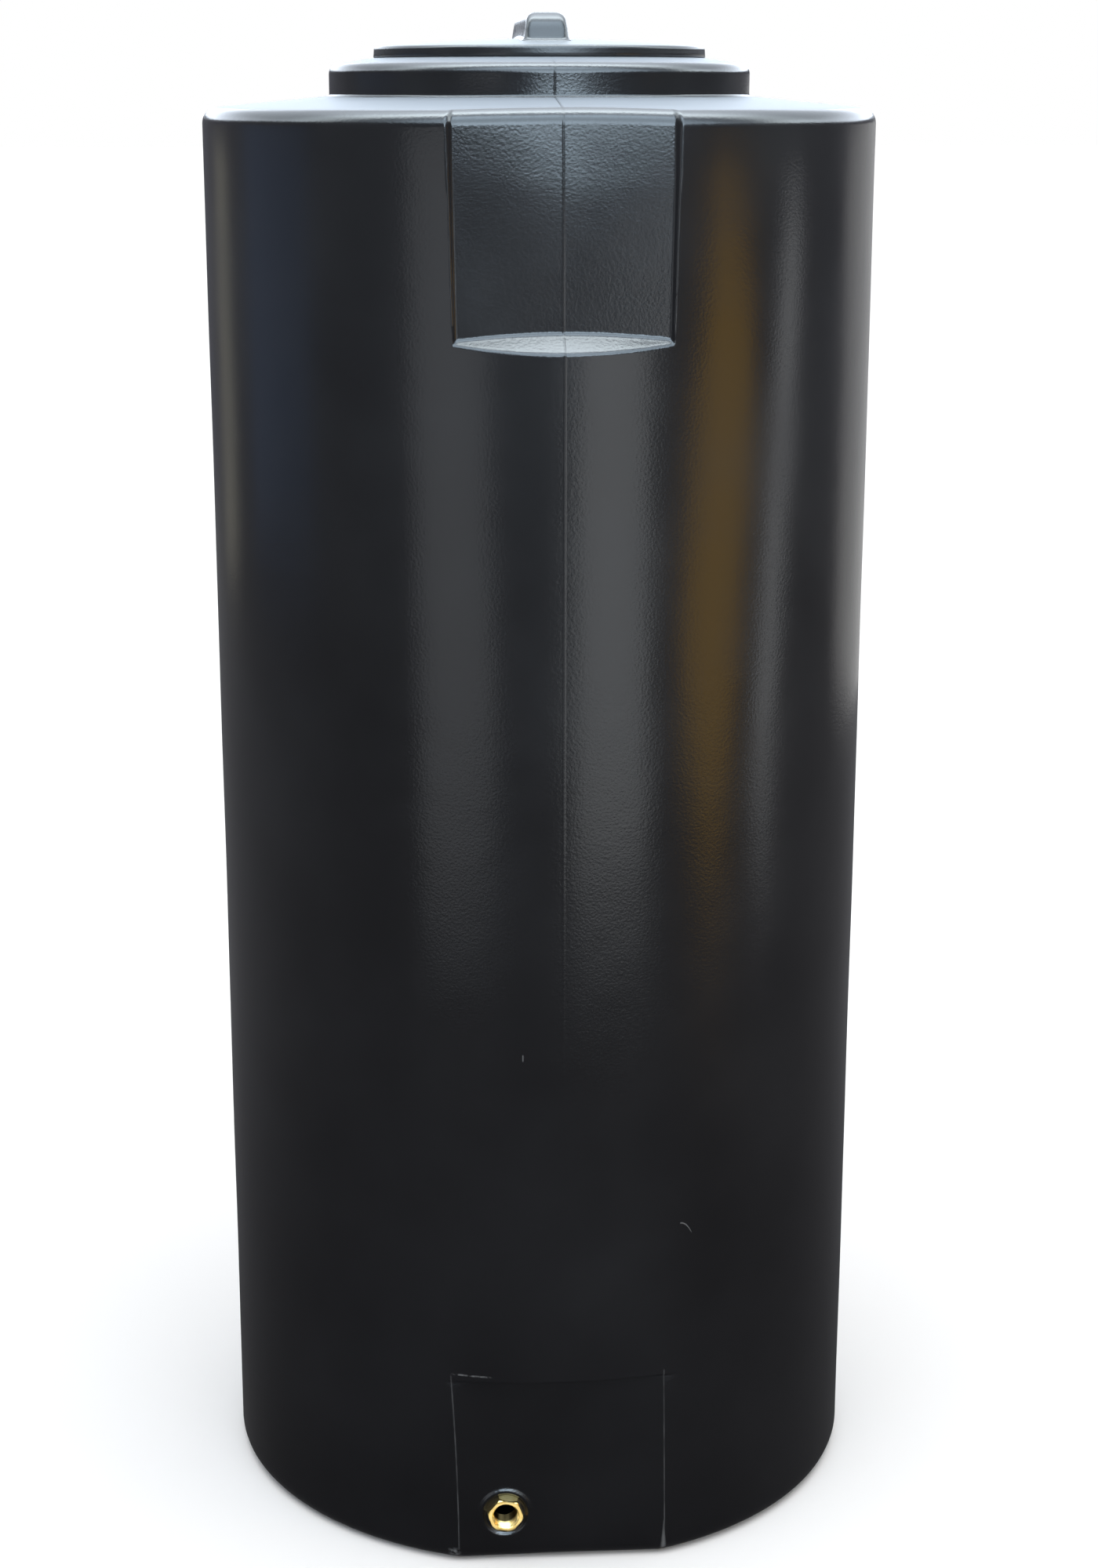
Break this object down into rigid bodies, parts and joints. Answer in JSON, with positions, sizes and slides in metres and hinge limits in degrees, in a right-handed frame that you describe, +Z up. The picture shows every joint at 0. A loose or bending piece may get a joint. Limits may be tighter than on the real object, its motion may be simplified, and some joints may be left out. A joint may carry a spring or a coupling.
{
  "type": "slimline upright water tank",
  "caption": "Round upright plastic water tank with a raised neck, a screw lid with a bar handle, two flats on the front and a threaded brass outlet low on the lower flat.",
  "frame": {"origin": "middle of the bottom, on the ground", "axes": "+Z up along the tank's axis; both flats and the outlet face -Y; +X to the right of the outlet side as seen from the front"},
  "size_m": [0.6499, 0.6499, 1.4813],
  "materials": {
    "tank_plastic": "black moulded polyethylene, half gloss with a fine pebbled skin",
    "outlet_brass": "turned and sawn, bright",
    "seal_rubber": "plain black rubber",
    "lid_plastic": "black moulded polyethylene, half gloss"
  },
  "bodies": {
    "tank": {"tank_shell": "tank_plastic", "outlet_insert": "outlet_brass"},
    "seal": {"lid_seal": "seal_rubber"},
    "screw_lid": {"lid": "lid_plastic"}
  },
  "joints": [
    {"name": "lid_lift", "type": "slide", "parent": "tank", "child": "seal", "axis": [0, 0, 1], "range_m": [0, 0.03]},
    {"name": "lid_turn", "type": "hinge", "parent": "seal", "child": "screw_lid", "pos_m": [0, 0, 1.4402], "axis": [0, 0, 1], "range_deg": [0, 540]}
  ],
  "couplings": [
    {"joint": "lid_lift", "follows": "lid_turn", "m_per_rad": 0.0031831}
  ]
}
